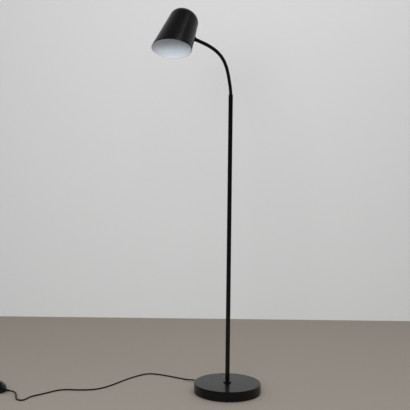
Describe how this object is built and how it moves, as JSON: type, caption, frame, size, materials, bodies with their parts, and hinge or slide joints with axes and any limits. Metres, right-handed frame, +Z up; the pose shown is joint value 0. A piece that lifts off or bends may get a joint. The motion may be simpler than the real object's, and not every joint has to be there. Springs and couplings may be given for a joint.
{
  "type": "floor lamp",
  "caption": "Floor reading lamp: round weighted base, slim pole, ribbed gooseneck and a tapered metal shade with a slanted mouth; lead with foot switch and plug.",
  "frame": {"origin": "centre of the base's underside, on the floor", "axes": "+Z up along the pole; the gooseneck curves in the XZ plane towards -X"},
  "size_m": [0.994, 0.6216, 1.3511],
  "materials": {
    "black_metal": "satin powder coat",
    "shade_metal": "satin black outside; the inside is painted white",
    "cement": "cast, rough",
    "zinc_steel": "zinc plated",
    "brass": "plain",
    "black_rubber": "matt",
    "black_plastic": "fine matt",
    "holder_plastic": "heat-resistant, matt",
    "contact_steel": "bare"
  },
  "bodies": {
    "stand": {"base_cover": "black_metal", "base_weight": "cement", "base_plate": "zinc_steel", "base_screws": "zinc_steel", "base_pad": "black_rubber", "lead_relief": "black_rubber", "pole_collar": "black_metal", "pole_stud": "zinc_steel", "pole_washer": "zinc_steel", "pole_lock_washer": "zinc_steel", "pole_nut": "zinc_steel", "pole": "black_metal", "pole_foot_plug": "black_plastic", "neck_coupler": "black_metal", "neck_set_screw": "zinc_steel", "gooseneck_01": "black_metal", "neck_cable": "black_rubber", "inner_cable": "black_rubber", "cord_run_a": "black_rubber", "cord_run_b": "black_rubber", "cord_coil": "black_rubber", "cord_tie": "black_plastic", "plug_relief": "black_rubber", "plug_body": "black_plastic", "plug_pins": "brass", "switch_feet": "black_rubber", "switch_base": "black_plastic", "switch_screws": "zinc_steel", "switch_housing": "black_plastic", "switch_relief_in": "black_rubber", "switch_relief_out": "black_rubber", "switch_block": "black_plastic", "switch_spring": "zinc_steel"},
    "neck_02": {"gooseneck_02": "black_metal"},
    "neck_03": {"gooseneck_03": "black_metal"},
    "neck_04": {"gooseneck_04": "black_metal"},
    "neck_05": {"gooseneck_05": "black_metal"},
    "neck_06": {"gooseneck_06": "black_metal"},
    "neck_07": {"gooseneck_07": "black_metal"},
    "neck_08": {"gooseneck_08": "black_metal"},
    "neck_09": {"gooseneck_09": "black_metal"},
    "neck_10": {"gooseneck_10": "black_metal"},
    "neck_11": {"gooseneck_11": "black_metal"},
    "head": {"gooseneck_12": "black_metal", "neck_end_fitting": "black_metal", "saddle_washer": "black_plastic", "neck_nut": "zinc_steel", "shade": "shade_metal", "holder_bracket": "zinc_steel", "holder_nut": "zinc_steel", "holder_nipple": "zinc_steel", "holder_cap": "holder_plastic", "holder_body": "holder_plastic", "holder_thread_shell": "contact_steel", "holder_contact": "brass", "holder_terminals": "brass", "shade_cable": "black_rubber"},
    "button": {"switch_button": "black_plastic"}
  },
  "joints": [
    {"name": "neck_bend_1", "type": "hinge", "parent": "stand", "child": "neck_02", "pos_m": [-0.00179, 0, 1.0916], "axis": [0, -1, 0], "range_deg": [-13, 12], "deforming": ["neck_cable"]},
    {"name": "neck_sway_1", "type": "hinge", "parent": "neck_02", "child": "neck_03", "pos_m": [-0.00575, 0, 1.11294], "axis": [0.9799, 0, 0.1994], "range_deg": [-9, 9]},
    {"name": "neck_bend_2", "type": "hinge", "parent": "neck_03", "child": "neck_04", "pos_m": [-0.01026, 0, 1.13416], "axis": [0, -1, 0], "range_deg": [-13, 12]},
    {"name": "neck_sway_2", "type": "hinge", "parent": "neck_04", "child": "neck_05", "pos_m": [-0.01578, 0, 1.15514], "axis": [0.9563, 0, 0.2924], "range_deg": [-9, 9]},
    {"name": "neck_bend_3", "type": "hinge", "parent": "neck_05", "child": "neck_06", "pos_m": [-0.02364, 0, 1.17535], "axis": [0, -1, 0], "range_deg": [-13, 12]},
    {"name": "neck_sway_3", "type": "hinge", "parent": "neck_06", "child": "neck_07", "pos_m": [-0.03496, 0, 1.19382], "axis": [0.7934, 0, 0.6088], "range_deg": [-9, 9]},
    {"name": "neck_bend_4", "type": "hinge", "parent": "neck_07", "child": "neck_08", "pos_m": [-0.05007, 0, 1.20932], "axis": [0, -1, 0], "range_deg": [-13, 12]},
    {"name": "neck_sway_4", "type": "hinge", "parent": "neck_08", "child": "neck_09", "pos_m": [-0.06808, 0, 1.22136], "axis": [0.4772, 0, 0.8788], "range_deg": [-9, 9]},
    {"name": "neck_bend_5", "type": "hinge", "parent": "neck_09", "child": "neck_10", "pos_m": [-0.08778, 0, 1.23044], "axis": [0, -1, 0], "range_deg": [-13, 12]},
    {"name": "neck_sway_5", "type": "hinge", "parent": "neck_10", "child": "neck_11", "pos_m": [-0.10835, 0, 1.23732], "axis": [0.2756, 0, 0.9613], "range_deg": [-9, 9]},
    {"name": "neck_bend_6", "type": "hinge", "parent": "neck_11", "child": "head", "pos_m": [-0.12936, 0, 1.24276], "axis": [0, -1, 0], "range_deg": [-13, 12]},
    {"name": "switch_press", "type": "slide", "parent": "stand", "child": "button", "axis": [0, 0, 1], "range_m": [-0.004, 0], "stiffness_N_per_m": 1500, "springref_m": 0.003, "deforming": ["switch_spring"]}
  ]
}
